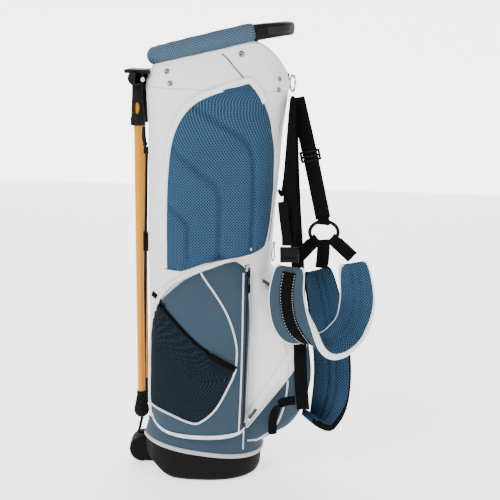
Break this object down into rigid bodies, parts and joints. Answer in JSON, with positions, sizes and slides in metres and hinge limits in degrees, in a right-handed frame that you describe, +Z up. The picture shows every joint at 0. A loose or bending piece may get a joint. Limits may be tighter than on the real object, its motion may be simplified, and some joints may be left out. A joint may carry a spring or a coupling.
{
  "type": "golf stand bag",
  "caption": "Golf stand bag with divided mouth, carry bar, folding legs worked by a pedal rod, zipped pockets and a padded double harness.",
  "frame": {"origin": "centre of the flat bottom of the boot, on the ground", "axes": "+Z up the tube, +X towards the spine and harness, -X towards the folding legs, -Y the near side with the hip pad"},
  "size_m": [0.4991, 0.2864, 0.9103],
  "materials": {
    "white_fabric": "matt coated nylon",
    "slate_fabric": "matt nylon",
    "blue_mesh": "padded spacer mesh",
    "dark_mesh": "stretch mesh",
    "black_webbing": "woven webbing",
    "black_plastic": "fine grain",
    "rubber": "matt",
    "yellow_tube": "gloss lacquer",
    "steel": "bright",
    "grey_piping": "piping",
    "dark_lining": "lining",
    "glass_fibre": "pultruded rod"
  },
  "bodies": {
    "root": {"base_boot": "black_plastic", "base_piping": "grey_piping", "body_panel_front": "white_fabric", "body_panel_leg": "white_fabric", "body_panel_back": "white_fabric", "body_panel_spine": "white_fabric", "collar_wall": "white_fabric", "collar_frame": "black_plastic", "collar_sleeve": "blue_mesh", "divider_cross": "dark_lining", "divider_sheet": "dark_lining", "stay_rod_near": "glass_fibre", "stay_rod_far": "glass_fibre", "stay_rod_spine": "glass_fibre", "leg_bracket": "black_plastic", "rod_guide": "black_plastic", "pedal_pin": "steel", "side_pocket_near": "slate_fabric", "side_pocket_far": "slate_fabric", "mesh_pocket": "dark_mesh", "hip_pad": "blue_mesh", "spine_pocket_upper": "white_fabric", "spine_pocket_lower": "slate_fabric", "ring_tab": "black_webbing", "spine_ring": "steel", "hub_ring": "black_plastic", "shoulder_pad_near": "blue_mesh", "shoulder_pad_far": "blue_mesh", "ladder_lock_near": "black_plastic", "bracket_pin_near": "steel", "bracket_pin_far": "steel", "carry_handle": "black_webbing", "top_strap": "black_webbing", "strap_near": "black_webbing", "strap_far": "black_webbing", "hub_strap_left": "black_webbing", "hub_strap_middle": "black_webbing", "hub_strap_right": "black_webbing", "haul_loop": "black_webbing"},
    "leg_near": {"leg_socket_near": "black_plastic", "leg_tube_near": "yellow_tube", "leg_foot_near": "rubber"},
    "leg_far": {"leg_socket_far": "black_plastic", "leg_tube_far": "yellow_tube", "leg_foot_far": "rubber"},
    "rod": {"actuator_rod": "black_plastic", "rod_joiner": "black_plastic"},
    "arm_near": {"yoke_arm_near": "black_plastic"},
    "arm_far": {"yoke_arm_far": "black_plastic"},
    "pedal": {"pedal_plate": "black_plastic", "pedal_bumper": "rubber"},
    "side_slider": {"side_zip_slider": "steel"},
    "side_tab": {"side_zip_tab": "black_webbing"},
    "upper_slider": {"upper_zip_slider": "steel"},
    "upper_tab": {"upper_zip_tab": "slate_fabric"},
    "lower_slider": {"lower_zip_slider": "steel"},
    "lower_tab": {"lower_zip_tab": "slate_fabric"},
    "buckle": {"strap_slider": "black_plastic"},
    "snap": {"snap_hook": "steel"}
  },
  "joints": [
    {"name": "leg_near_swing", "type": "hinge", "parent": "root", "child": "leg_near", "pos_m": [-0.137, -0.04, 0.793], "axis": [-0.5, 0.866, 0], "range_deg": [0, 25]},
    {"name": "leg_far_swing", "type": "hinge", "parent": "root", "child": "leg_far", "pos_m": [-0.137, 0.04, 0.793], "axis": [0.5, 0.866, 0], "range_deg": [0, 25]},
    {"name": "rod_slide", "type": "slide", "parent": "root", "child": "rod", "axis": [0, 0, 1], "range_m": [0, 0.0348]},
    {"name": "arm_near_swing", "type": "hinge", "parent": "rod", "child": "arm_near", "pos_m": [-0.121, 0, 0.65], "axis": [0.6731, -0.6897, -0.267], "range_deg": [0, 30.9]},
    {"name": "arm_far_swing", "type": "hinge", "parent": "rod", "child": "arm_far", "pos_m": [-0.121, 0, 0.65], "axis": [-0.6731, -0.6897, 0.267], "range_deg": [0, 30.9]},
    {"name": "pedal_swing", "type": "hinge", "parent": "root", "child": "pedal", "pos_m": [-0.044, 0, 0.008], "axis": [0, 1, 0], "range_deg": [0, 23.6]},
    {"name": "side_zip_slide", "type": "slide", "parent": "root", "child": "side_slider", "axis": [0, 0, -1], "range_m": [0, 0.22]},
    {"name": "side_tab_swing", "type": "hinge", "parent": "side_slider", "child": "side_tab", "pos_m": [0.08836, -0.11985, 0.449], "axis": [-0.7828, -0.6223, 0], "range_deg": [0, 60]},
    {"name": "upper_zip_slide", "type": "slide", "parent": "root", "child": "upper_slider", "axis": [0.8412, 0, -0.5408], "range_m": [0, 0.03]},
    {"name": "upper_tab_swing", "type": "hinge", "parent": "upper_slider", "child": "upper_tab", "pos_m": [0.1157, -0.0936, 0.4183], "axis": [-0.4912, -0.4184, -0.764], "range_deg": [0, 20]},
    {"name": "lower_zip_slide", "type": "slide", "parent": "root", "child": "lower_slider", "axis": [0.5291, 0, 0.8486], "range_m": [0, 0.03]},
    {"name": "lower_tab_swing", "type": "hinge", "parent": "lower_slider", "child": "lower_tab", "pos_m": [0.0988, -0.1038, 0.1372], "axis": [0.7962, 0.3461, -0.4963], "range_deg": [0, 60]},
    {"name": "strap_adjust", "type": "slide", "parent": "root", "child": "buckle", "axis": [0.2572, 0, -0.9664], "range_m": [-0.04, 0.04]},
    {"name": "snap_swing", "type": "hinge", "parent": "root", "child": "snap", "pos_m": [0.136, -0.052, 0.488], "axis": [0, 1, 0], "range_deg": [-10, 15]}
  ],
  "couplings": [
    {"joint": "leg_far_swing", "follows": "leg_near_swing", "ratio": 1},
    {"joint": "rod_slide", "follows": "leg_near_swing", "m_per_rad": 0.07975},
    {"joint": "arm_near_swing", "follows": "leg_near_swing", "ratio": 1.235},
    {"joint": "arm_far_swing", "follows": "leg_near_swing", "ratio": 1.235},
    {"joint": "pedal_swing", "follows": "leg_near_swing", "ratio": 0.943}
  ]
}
